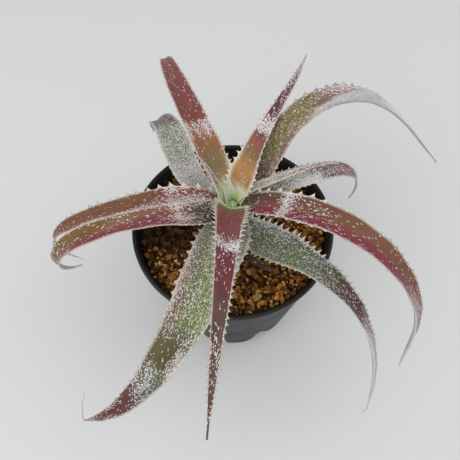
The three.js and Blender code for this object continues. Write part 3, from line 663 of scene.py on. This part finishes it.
def scurf_flakes(leaf, draw):
    """White scales on the upper face: low four-sided pyramids, longer along the leaf.

    They sit on staggered rows, each moved a little at random. A scale is kept when its rank is
    below the scurf's cover there; the rank grows by a fixed share of 1 from place to place and
    starts again at 1, so that those kept stay evenly spread whatever the cover.
    """
    fine = leaf["width"] > FINE_WIDTH
    step = FINE_STEP if fine else SCALE_STEP
    i, j = np.meshgrid(
        np.arange(int(leaf["width"] / step)), np.arange(int(leaf["length"] / step))
    )
    i, j = i.ravel(), j.ravel()
    tries = len(i)
    x = step * (i + 0.5 + 0.5 * (j % 2) + draw.normal(0, 0.3, tries)) - leaf["width"] / 2
    t = np.clip(step * (j + draw.normal(0, 0.3, tries)) / leaf["length"], 0, 1)
    width = blade_width(leaf, t)
    a = 2 * x / width
    rank = (0.7549 * i + 0.5698 * j) % 1
    rank = 0.75 * rank + 0.25 * draw.uniform(0, 1, tries)
    inside = (np.abs(a) < 0.96) & (t > 0.03) & (t < 0.985)
    t, a, width, rank = t[inside], a[inside], width[inside], rank[inside]
    _, cover = leaf_colours(leaf, t, a)
    flat = np.column_stack([a * width / 2, t * leaf["length"]])
    uneven = (0.12 if fine else 0.3) * np.minimum(1, 4 * cover * (1 - cover))
    chance = np.clip(cover + uneven * ripple(flat * [1.3, 0.35], 2.2, draw), 0, 1)
    keep = rank < (chance if fine else chance ** 1.3)
    t, a, width, cover = t[keep], a[keep], width[keep], cover[keep]
    n = len(t)
    own = stops(leaf.get("scales", ((0, SCURF),)), t)
    longer = draw.uniform(0.28, 0.72, n) * (0.75 + 0.45 * cover)
    wider = draw.uniform(0.14, 0.23, n) * (0.85 + 0.4 * cover)
    if fine:
        longer = draw.uniform(0.3, 0.55, n)
        wider = draw.uniform(0.16, 0.25, n)
    turn = draw.normal(0, 0.6 if fine else 0.25, n)
    corners = []
    for along_way, side_way in ((1, 0), (0, 1), (-1, 0), (0, -1), (0, 0)):
        dx = along_way * longer * np.cos(turn) - side_way * wider * np.sin(turn)
        dy = along_way * longer * np.sin(turn) + side_way * wider * np.cos(turn)
        at_t = t + dx / leaf["length"]
        at_a = np.clip(a + 2 * dy / width, -1, 1)
        point = blade_points(leaf, at_t, at_a, np.ones(n))
        up = leaf_directions(leaf, at_t)[2]
        height = SCALE_HEIGHT if (along_way, side_way) == (0, 0) else SCALE_FOOT
        corners.append(point + up * height)
    points = np.stack(corners, 1).reshape(-1, 3)
    base = np.arange(n)[:, None] * 5
    faces = np.concatenate([base + np.array([[4, k, (k + 1) % 4]]) for k in range(4)])
    shade = draw.uniform(0.82, 1.0, n)[:, None] * own
    return points, faces, np.repeat(shade, 5, 0)


def plain(points, colour):
    """Points with their colour, without scurf or felt, at the origin of the skin's pattern."""
    n = len(points)
    return points, np.broadcast_to(colour, (n, 3)), np.zeros(n), np.zeros(n), np.zeros((n, 2))


def add_leaf(leaf, material):
    """One leaf: its blade, the filament at its tip and its scurf in one mesh."""
    draw = np.random.default_rng(SEED + int(leaf["azimuth"]) + int(leaf["length"]) * 1000)
    *blade, rows, around = leaf_blade(leaf, draw)
    uv = blade[-1]
    ends = np.array([0.0, 1.0])
    root, tip = leaf_line(leaf, ends) + leaf_directions(leaf, ends)[0] * [[0], [0.4]]
    parts = [blade, ([root, tip], [MOSS, CREAM], [0, 0], [0, 0], [uv[0], uv[-1]])]
    faces = tube_faces(rows, around)
    if "thread" in leaf:
        faces += tube_faces(FILAMENT_STEPS, FILAMENT_SIDES, len(blade[0]) + 2)
        parts.append(plain(thread_rings(leaf, draw), CREAM * 0.8))
    flakes, flake_faces, shade = scurf_flakes(leaf, draw)
    faces.append(flake_faces + sum(len(part[0]) for part in parts))
    parts.append(plain(flakes, shade))
    points, colour, cover, under, uv = (np.concatenate(column) for column in zip(*parts))
    piece = add_mesh(
        leaf["name"] + "_blade", points, faces, material, uv, colour, {"scurf": cover, "under": under}
    )
    return dress(piece, leaf["name"])


# Materials


def new_material(name):
    """An empty material with its principled shader joined to the output."""
    material = bpy.data.materials.new(name)
    material.use_nodes = True
    tree = material.node_tree
    tree.nodes.clear()
    shader = tree.nodes.new("ShaderNodeBsdfPrincipled")
    output = tree.nodes.new("ShaderNodeOutputMaterial")
    tree.links.new(shader.outputs["BSDF"], output.inputs["Surface"])
    return material, tree, shader


def join(tree, node, inputs):
    """Each of a node's inputs set to a value or joined to another node's output."""
    for key, value in inputs.items():
        if isinstance(value, bpy.types.NodeSocket):
            tree.links.new(value, node.inputs[key])
        else:
            node.inputs[key].default_value = value


def put(tree, kind, inputs=None, **settings):
    """A new node of a kind, with its settings, and its inputs set or joined."""
    node = tree.nodes.new("ShaderNode" + kind)
    for key, value in settings.items():
        setattr(node, key, value)
    join(tree, node, inputs or {})
    return node


def set_shader(tree, shader, colour, roughness, gloss, height, strength, depth):
    """The shader's colour, roughness and gloss, and a bump from a height at a depth in metres."""
    bump = put(tree, "Bump", {"Strength": strength, "Distance": depth, "Height": height})
    inputs = {"Base Color": colour, "Roughness": roughness, "Specular IOR Level": gloss}
    join(tree, shader, {**inputs, "Normal": bump.outputs[0]})


def stored(tree, name, output="Color"):
    """What the mesh stores under a name for each of its points."""
    return put(tree, "Attribute", attribute_name=name).outputs[output]


def stretched(tree, place, scale):
    """A place multiplied by a scale along each axis."""
    return put(tree, "Mapping", {"Vector": place, "Scale": scale}).outputs[0]


def noise(tree, place, scale, detail, output="Fac"):
    """An output of a Noise node."""
    inputs = {"Vector": place, "Scale": scale, "Detail": detail}
    return put(tree, "TexNoise", inputs).outputs[output]


def maths(tree, operation, a, b, c=0.0):
    """The output of a Math node."""
    return put(tree, "Math", {0: a, 1: b, 2: c}, operation=operation).outputs[0]


def times(tree, a, b):
    """The product of two values."""
    return maths(tree, "MULTIPLY", a, b)


def rise_between(tree, value, low, high):
    """The output of a Map Range node that takes low to high onto 0 to 1, smoothly."""
    inputs = {"Value": value, "From Min": low, "From Max": high}
    node = put(tree, "MapRange", inputs, interpolation_type="SMOOTHSTEP")
    return node.outputs["Result"]


def mixed(tree, share, a, b, blend="MIX"):
    """The output colour of a Mix node, whose colours are inputs 6 and 7 and output 2."""
    inputs = {0: share, 6: a, 7: b}
    return put(tree, "Mix", inputs, data_type="RGBA", blend_type=blend).outputs[2]


def rgba(colour, scale=1.0):
    """A colour with full opacity, as a node takes it."""
    return (*(float(c) * scale for c in colour), 1.0)


def leaf_skin(name, roughness):
    """Leaf skin with fine white scales, long veins and a felted underside.

    The pigment and the scales' cover are read from the mesh; the grain lies in the blade's own
    coordinates, in millimetres across and along it.
    """
    material, tree, shader = new_material(name)
    cover = stored(tree, "scurf", "Fac")
    surface = put(tree, "UVMap", uv_map="surface").outputs["UV"]
    grain = stretched(tree, surface, (1.1, 0.38, 1.0))
    wander = noise(tree, grain, 1.6, 2.0, "Color")
    speck_at = put(tree, "VectorMath", {0: grain, 1: wander}, operation="ADD").outputs[0]
    speck = put(tree, "TexVoronoi", {"Vector": speck_at, "Scale": 1.9}, voronoi_dimensions="2D")
    chance = put(tree, "SeparateColor", {0: speck.outputs["Color"]}).outputs[0]
    there = maths(tree, "SUBTRACT", times(tree, cover, 0.48), chance)
    dot = rise_between(tree, speck.outputs["Distance"], 0.48, 0.3)
    dots = times(tree, dot, rise_between(tree, there, -0.04, 0.04))
    level = maths(tree, "MULTIPLY_ADD", cover, -0.3, 0.8)
    over = maths(tree, "SUBTRACT", noise(tree, grain, 2.4, 3.0), level)
    scales = maths(tree, "MAXIMUM", dots, rise_between(tree, over, -0.03, 0.05))
    veins = noise(tree, stretched(tree, surface, (1.0, 0.03, 1.0)), 1.7, 2.0)
    blotch = noise(tree, stretched(tree, surface, (0.3, 0.12, 1.0)), 1.0, 3.0)
    tone = maths(tree, "MULTIPLY_ADD", veins, 0.5, 0.75)
    tone = times(tree, tone, rise_between(tree, blotch, -0.9, 0.9))
    grey = put(tree, "CombineColor", {0: tone, 1: tone, 2: tone}).outputs[0]
    skin = mixed(tree, 1.0, stored(tree, "pigment"), grey, "MULTIPLY")
    skin = mixed(tree, times(tree, scales, 0.9), skin, rgba(SCURF, 0.92))
    groove = noise(tree, stretched(tree, surface, (1.0, 0.02, 1.0)), 2.2, 1.0)
    dark = times(tree, rise_between(tree, groove, 0.52, 0.66), stored(tree, "under", "Fac"))
    skin = mixed(tree, times(tree, dark, 0.35), skin, rgba(SLATE))
    rough = maths(tree, "MULTIPLY_ADD", scales, 0.3, roughness)
    height = maths(tree, "MULTIPLY_ADD", veins, 0.5, scales)
    set_shader(tree, shader, skin, rough, 0.35, height, 0.5, 0.0002)
    return material


def clay(name):
    """Baked clay: each granule's own tone, mottled with ochre and dark specks, and rough."""
    material, tree, shader = new_material(name)
    place = put(tree, "TexCoord").outputs["Object"]
    grain = noise(tree, place, 900.0, 4.0)
    light = rise_between(tree, noise(tree, place, 260.0, 2.0), 0.45, 0.75)
    colour = mixed(tree, times(tree, light, 0.2), stored(tree, "pigment"), rgba(OCHRE))
    speck = rise_between(tree, grain, 0.6, 0.35)
    colour = mixed(tree, times(tree, speck, 0.45), colour, rgba(BARK, 0.5))
    set_shader(tree, shader, colour, 0.9, 0.25, grain, 0.7, 0.0004)
    return material


def pot_plastic(name):
    """Black moulded plastic, a little glossy, with dusty patches and fine mould marks.

    Painted shade makes it darker and plainer on the inside of the slanting wall, above the foot; the rim's
    top keeps the outer colour.
    """
    material, tree, shader = new_material(name)
    place = put(tree, "TexCoord").outputs["Object"]
    dust = times(tree, rise_between(tree, noise(tree, place, 45.0, 5.0), 0.4, 0.75), 0.25)
    colour = mixed(tree, dust, rgba(POT_BLACK), rgba(POT_DUST))
    parts = put(tree, "SeparateXYZ", {"Vector": place}).outputs
    flat = put(tree, "CombineXYZ", {"X": parts["X"], "Y": parts["Y"]}).outputs[0]
    far = put(tree, "VectorMath", {0: flat}, operation="LENGTH").outputs["Value"]
    lean = (SHOULDER_RADIUS - FOOT_RADIUS) / (POT_HEIGHT - RIM_DEPTH)
    beyond = maths(tree, "SUBTRACT", far, times(tree, parts["Z"], lean))
    edge = (FOOT_RADIUS - 0.2) * MILLIMETRE
    # painted shade: the inside of the slanting wall takes the darker colour, the outside and the rim's top
    # the plain one
    outside = rise_between(tree, beyond, edge - 0.0001, edge + 0.0001)
    outside = maths(tree, "MAXIMUM", outside, rise_between(tree, parts["Z"], *FOOT_FADE))
    colour = mixed(tree, outside, rgba(PAINTED_INSIDE_SHADE), colour)
    rough = maths(tree, "MULTIPLY_ADD", dust, 0.6, 0.42)
    marks = noise(tree, stretched(tree, place, (1.0, 1.0, 18.0)), 60.0, 2.0)
    set_shader(tree, shader, colour, rough, 0.2, marks, 0.12, 0.0003)
    return material


def sheath(name):
    """The stem's papery leaf sheaths, brown low down and green near the top."""
    material, tree, shader = new_material(name)
    place = put(tree, "TexCoord").outputs["Object"]
    fibre = noise(tree, stretched(tree, place, (1.0, 1.0, 0.15)), 1400.0, 3.0)
    dark = times(tree, rise_between(tree, fibre, 0.6, 0.3), 0.5)
    colour = mixed(tree, dark, stored(tree, "pigment"), rgba(BARK, 0.6))
    set_shader(tree, shader, colour, 0.75, 0.5, fibre, 0.5, 0.0003)
    return material


def table_top(name):
    """A plain pale matt surface."""
    material, tree, shader = new_material(name)
    inputs = {"Base Color": rgba(TABLE), "Roughness": 0.7, "Specular IOR Level": 0.2}
    join(tree, shader, inputs)
    return material


# Pot, soil and stem


def wall_radius(height):
    """The wall's outside radius, which grows evenly with the height."""
    return FOOT_RADIUS + (SHOULDER_RADIUS - FOOT_RADIUS) * height / (POT_HEIGHT - RIM_DEPTH)


def inner_radius(height):
    """The wall's inside radius: the outside one less the wall."""
    return wall_radius(height) - WALL


def notch_depth(height, angle):
    """How far the foot is drawn in: six lobes, notched between, that fade out upwards.

    The depth grows as the sixth power of the distance from a lobe's middle.
    """
    half = 180 / NOTCHES
    from_lobe = np.abs((angle - POT_TURN) % (2 * half) - half) / half
    return NOTCH_DEPTH * from_lobe**6 * np.clip(1 - height / NOTCH_HEIGHT, 0, 1)


def rounded(profile, most, steps=5):
    """A profile of radius and height with each inner corner replaced by a short arc.

    most: how far from a corner its arc starts. An arc is a quadratic curve whose middle point
    is the corner.
    """
    p = np.array(profile, float)
    made = [p[0]]
    for before, corner, after in zip(p[:-2], p[1:-1], p[2:]):
        back, on = before - corner, after - corner
        reach = min(most, 0.45 * np.linalg.norm(back), 0.45 * np.linalg.norm(on))
        start = corner + back / np.linalg.norm(back) * reach
        end = corner + on / np.linalg.norm(on) * reach
        f = np.linspace(0, 1, steps)[:, None]
        made += list(start * (1 - f) ** 2 + 2 * corner * f * (1 - f) + end * f**2)
    made.append(p[-1])
    return np.array(made)


def turned_rings(profile, sectors, notched=True):
    """Points of a turned surface: each profile point's radius, less the grooves, round Z."""
    angle = np.arange(sectors) * 360 / sectors
    radius, height = profile[:, 0][:, None], profile[:, 1][:, None]
    drawn_in = notch_depth(height, angle[None, :]) if notched else 0
    r = radius - drawn_in
    way = np.radians(angle)[None, :]
    return np.stack([r * np.cos(way), r * np.sin(way), height + 0 * way], -1).reshape(-1, 3)


def add_pot(material):
    """The pot as one closed turned surface, up the outside and down the inside.

    Both ends of the profile are closed by a fan, and six round drain holes are cut in the floor.
    """
    rim = POT_HEIGHT - RIM_DEPTH
    outside = [
        (FAN_RADIUS, FOOT_HOLLOW), (FOOT_RADIUS - 8, FOOT_HOLLOW), (FOOT_RADIUS - 7, 0),
        (FOOT_RADIUS - FOOT_ROUND, 0), (wall_radius(FOOT_ROUND), FOOT_ROUND),
        (wall_radius(NOTCH_HEIGHT / 2), NOTCH_HEIGHT / 2),
        (wall_radius(NOTCH_HEIGHT), NOTCH_HEIGHT), (wall_radius(MID_WALL), MID_WALL),
        (wall_radius(POT_STEP), POT_STEP), (wall_radius(POT_STEP) + STEP_OUT, POT_STEP + 0.4),
        (SHOULDER_RADIUS, rim), (RIM_RADIUS - 0.2, rim), (RIM_RADIUS, rim + 0.5),
        (RIM_RADIUS, POT_HEIGHT - 0.8),
        (RIM_RADIUS - 0.5, POT_HEIGHT), (RIM_RADIUS - 1.5, POT_HEIGHT),
        (inner_radius(POT_HEIGHT - 1), POT_HEIGHT - 1.2),
    ]
    inside = [
        (inner_radius(MID_WALL), MID_WALL), (inner_radius(NOTCH_HEIGHT), NOTCH_HEIGHT),
        (inner_radius(FLOOR + FOOT_ROUND), FLOOR + FOOT_ROUND),
        (inner_radius(FLOOR) - FOOT_ROUND, FLOOR), (FAN_RADIUS, FLOOR),
    ]
    profile = rounded(outside + inside, 0.7)
    ends = [[0, 0, FOOT_HOLLOW], [0, 0, FLOOR]]
    points = np.vstack([turned_rings(profile, POT_SECTORS), ends])
    faces = tube_faces(len(profile), POT_SECTORS, turned=True)
    piece = add_mesh("pot_shell", points, faces, material)
    drill = bmesh.new()
    radius = DRAIN_HOLE_RADIUS * MILLIMETRE
    for i in range(DRAIN_HOLES):
        angle = np.radians((i + 0.5) * 360 / DRAIN_HOLES + POT_TURN)
        made = bmesh.ops.create_cone(
            drill, cap_ends=True, segments=48, radius1=radius, radius2=radius, depth=8 * MILLIMETRE
        )
        place = (DRAIN_CIRCLE_RADIUS * np.cos(angle), DRAIN_CIRCLE_RADIUS * np.sin(angle), 1.5)
        bmesh.ops.translate(drill, verts=made["verts"], vec=np.array(place) * MILLIMETRE)
    cutter_mesh = bpy.data.meshes.new("drill")
    drill.to_mesh(cutter_mesh)
    drill.free()
    cutter = bpy.data.objects.new("drill", cutter_mesh)
    bpy.context.scene.collection.objects.link(cutter)
    cut = piece.modifiers.new("drain_holes", "BOOLEAN")
    cut.operation = "DIFFERENCE"
    cut.solver = "EXACT"
    cut.object = cutter
    bpy.context.view_layer.update()
    graph = bpy.context.evaluated_depsgraph_get()
    finished = bpy.data.meshes.new_from_object(piece.evaluated_get(graph))
    piece.modifiers.clear()
    piece.data = finished
    bpy.data.objects.remove(cutter)
    return dress(piece, "pot")


def lump_form():
    """Corners and triangles of a ball of 42 faces: three rings of seven points and two poles."""
    angle = np.radians(np.arange(LUMP_SIDES) * 360 / LUMP_SIDES)
    rings = []
    for k, height in enumerate((-0.66, 0.0, 0.66)):
        radius = np.sqrt(1 - height**2)
        way = angle + k * np.pi / LUMP_SIDES
        rings.append(np.column_stack([radius * np.cos(way), radius * np.sin(way), 0 * way + height]))
    corners = np.vstack([*rings, [[0, 0, -1.0], [0, 0, 1.0]]])
    quads, *lids = tube_faces(3, LUMP_SIDES, turned=True)
    return corners, np.vstack([quads[:, [0, 1, 2]], quads[:, [0, 2, 3]], *lids])


def granule_layer(draw, count, radii, level, rough, reach):
    """Centres and sizes of a layer of granules.

    Place i of n lies at the square root of i over n of the reach, turned by the golden angle
    each time, and is moved a little at random.
    """
    i = np.arange(count)
    size = radii[0] + (radii[1] - radii[0]) * draw.uniform(0, 1, count) ** 1.8
    spread = reach * np.sqrt(np.pi / count) * 0.3
    r = reach * np.sqrt((i + 0.5) / count)
    angle = np.radians(i * GOLDEN_ANGLE) + draw.uniform(0, 6.28)
    x = r * np.cos(angle) + draw.normal(0, spread, count)
    y = r * np.sin(angle) + draw.normal(0, spread, count)
    z = level + draw.uniform(-rough, rough, count)
    far = np.hypot(x, y)
    limit = inner_radius(level) - size - 0.2
    pull = np.minimum(1, limit / np.maximum(far, 1e-6))
    return np.column_stack([x * pull, y * pull, z]), size


def add_soil(material):
    """Clay granules in layers on a solid bed that fills the pot.

    A granule is a ball of 42 faces, turned, stretched and cut back to random flat sides. Its
    tone darkens smoothly with painted shade under the leaves, at the shaded place and towards the
    stem, and is paler in three places.
    """
    draw = np.random.default_rng(SEED)
    reach = inner_radius(SOIL_LEVEL) - 1.5
    layers = [
        granule_layer(draw, 900, (1.3, 2.3), SOIL_LEVEL + 0.6, 0.7, reach),
        granule_layer(draw, 760, (1.0, 2.1), SOIL_LEVEL + 2.3, 1.1, reach),
        granule_layer(draw, 70, (2.2, 3.1), SOIL_LEVEL + 2.5, 0.8, reach * 0.97),
        granule_layer(draw, 900, (0.5, 1.1), SOIL_LEVEL + 3.0, 1.6, reach * 1.02),
    ]
    centre = np.concatenate([c for c, _ in layers])
    size = np.concatenate([s for _, s in layers])
    centre[:, 2] -= np.maximum(0, centre[:, 2] + size - SOIL_TOP)
    n = len(size)
    corners, triangles = lump_form()
    first = unit(draw.normal(size=(n, 3)))
    second = unit(np.cross(first, draw.normal(size=(n, 3))))
    turn = np.stack([first, second, np.cross(first, second)], 1)
    form = np.einsum("ki,nij->nkj", corners, turn) * draw.uniform(0.62, 1.15, (n, 1, 3))
    for _ in range(6):
        flat = unit(draw.normal(size=(n, 1, 3)))
        limit = draw.uniform(0.4, 0.75, (n, 1, 1))
        over = np.maximum(0, (form * flat).sum(-1, keepdims=True) - limit)
        form = form - over * flat
    form = form * (1 + 0.09 * draw.normal(size=(n, len(corners), 1)))
    points = (centre[:, None] + form * size[:, None, None]).reshape(-1, 3)
    faces = (triangles[None] + (np.arange(n) * len(corners))[:, None, None]).reshape(-1, 3)
    own = np.array(CLAY_TONES)[draw.choice(len(CLAY_TONES), n, p=CLAY_SHARES)]
    x, y = centre[:, 0], centre[:, 1]
    # painted shade: granules darkened where the leaves shade the soil, and towards the stem under the
    # rosette
    wide, deep = PAINTED_SHADE_WIDTH
    painted_shade = 1.15 * np.exp(-((x - PAINTED_SHADE_PLACE[0]) ** 2) / wide - (y - PAINTED_SHADE_PLACE[1]) ** 2 / deep)
    painted_shade = np.minimum(painted_shade, 0.92)
    painted_shade = np.maximum(painted_shade, 0.6 * smoothstep(34, 14, np.hypot(x, y)))
    # three places where the granules are paler
    dry = 0
    for right, back, much in PALE_PLACES:
        dry += much * np.exp(-((x - right) ** 2 + (y - back) ** 2) / PALE_WIDTH)
    tone = own * (draw.uniform(0.65, 1.25, n) * (1 - painted_shade) * (1 + dry))[:, None]
    tone = np.repeat(tone, len(corners), 0)
    bed = rounded(
        [
            (FAN_RADIUS, FLOOR + GAP), (inner_radius(FLOOR) - FOOT_ROUND - GAP, FLOOR + GAP),
            (inner_radius(FLOOR + FOOT_ROUND) - GAP, FLOOR + FOOT_ROUND),
            (inner_radius(NOTCH_HEIGHT) - GAP, NOTCH_HEIGHT),
            (inner_radius(SOIL_LEVEL) - GAP, SOIL_LEVEL), (FAN_RADIUS, SOIL_LEVEL),
        ],
        0.8,
    )
    ends = [[0, 0, FLOOR + GAP], [0, 0, SOIL_LEVEL]]
    bed_points = np.vstack([turned_rings(bed, BED_SECTORS), ends])
    bed_faces = tube_faces(len(bed), BED_SECTORS, len(points), True)
    colour = np.vstack([tone, np.tile(WET_CLAY, (len(bed_points), 1))])
    points = np.vstack([points, bed_points])
    piece = add_mesh(
        "clay_granules", points, [faces, *bed_faces], material, colour=colour, smooth=False
    )
    return dress(piece, "soil")


def add_stem(material):
    """The stem under its old sheaths: its radius steps in where each sheath in a rising spiral
    ends, and narrows towards the heart, where seven folds of unopened leaves are drawn in."""
    rows, around = 120, 72
    f = np.linspace(0, 1, rows)
    angle = np.linspace(0, 2 * np.pi, around, endpoint=False)
    height = STEM_FOOT + (STEM_TOP - STEM_FOOT) * f
    body = np.interp(height, (68, 90, 96, 101, 103.2, 104), (5.4, 5.4, 4.7, 3.7, 2.2, 0.4))
    turns = (height[:, None] / SHEATH_RISE + angle[None, :] * 3 / (2 * np.pi)) % 1
    radius = body[:, None] * (1 - 0.14 * turns * (f[:, None] < 0.95))
    fold = 0.5 + 0.5 * np.sin(LEAF_FOLDS * angle[None, :] + 1.5 * height[:, None])
    radius = radius * (1 - 0.2 * fold * smoothstep(99, 102, height)[:, None])
    x, y = radius * np.cos(angle), radius * np.sin(angle)
    points = np.stack([x, y, height[:, None] + 0 * x], -1).reshape(-1, 3)
    green = smoothstep(80, 100, points[:, 2])[:, None]
    colour = blend(STEM_BROWN, LEAF_GREEN * 0.7, green)
    top = smoothstep(101, 103, points[:, 2])[:, None]
    fold = fold.reshape(-1, 1)
    colour = blend(colour, blend(MINT, BUD_GREEN, fold), top)
    points = np.vstack([points, [[0, 0, STEM_FOOT], [0, 0, STEM_TOP]]])
    colour = np.vstack([colour, [BARK], [MINT]])
    faces = tube_faces(rows, around, turned=True)
    piece = add_mesh("stem_sheaths", points, faces, material, colour=colour)
    return dress(piece, "stem")


# Table and light


def add_lamp(name, place, size, power):
    """A square soft lamp at a place in metres, turned towards the plant."""
    lamp = bpy.data.lights.new(name, "AREA")
    lamp.size = size
    lamp.energy = power
    lamp.color = LAMP_COLOUR
    stand = bpy.data.objects.new(name, lamp)
    bpy.context.scene.collection.objects.link(stand)
    stand.location = place
    aim = Vector((0, 0, 0.08)) - Vector(place)
    stand.rotation_euler = aim.to_track_quat("-Z", "Y").to_euler()


def add_stage():
    """A pale table top, a pale room and three soft lamps: behind, on the right and in front."""
    half = 3000.0
    square = np.array([[-half, -half, 0], [half, -half, 0], [half, half, 0], [-half, half, 0]])
    table = add_mesh("table", square, [np.array([[0, 1, 2, 3]])], table_top("table_top"))
    room = bpy.data.worlds.new("room")
    room.use_nodes = True
    inputs = {"Color": ROOM_COLOUR, "Strength": ROOM_LIGHT}
    join(room.node_tree, room.node_tree.nodes["Background"], inputs)
    bpy.context.scene.world = room
    add_lamp("lamp_high", (-0.35, 0.55, 0.95), 0.9, HIGH_LAMP)
    add_lamp("lamp_side", (0.6, 0.05, 0.85), 0.6, SIDE_LAMP)
    add_lamp("lamp_front", (-0.55, -0.6, 0.8), 0.9, FRONT_LAMP)
    bpy.context.scene.view_settings.view_transform = "Standard"


add_camera()
add_stage()
skin = leaf_skin("leaf_skin", 0.45)
withered = leaf_skin("withered_leaf", 0.8)
add_pot(pot_plastic("pot_plastic"))
add_soil(clay("clay"))
add_stem(sheath("sheaths"))
for leaf in LEAVES:
    if leaf["name"] == "leaf_dried":
        add_leaf(leaf, withered)
    else:
        add_leaf(leaf, skin)
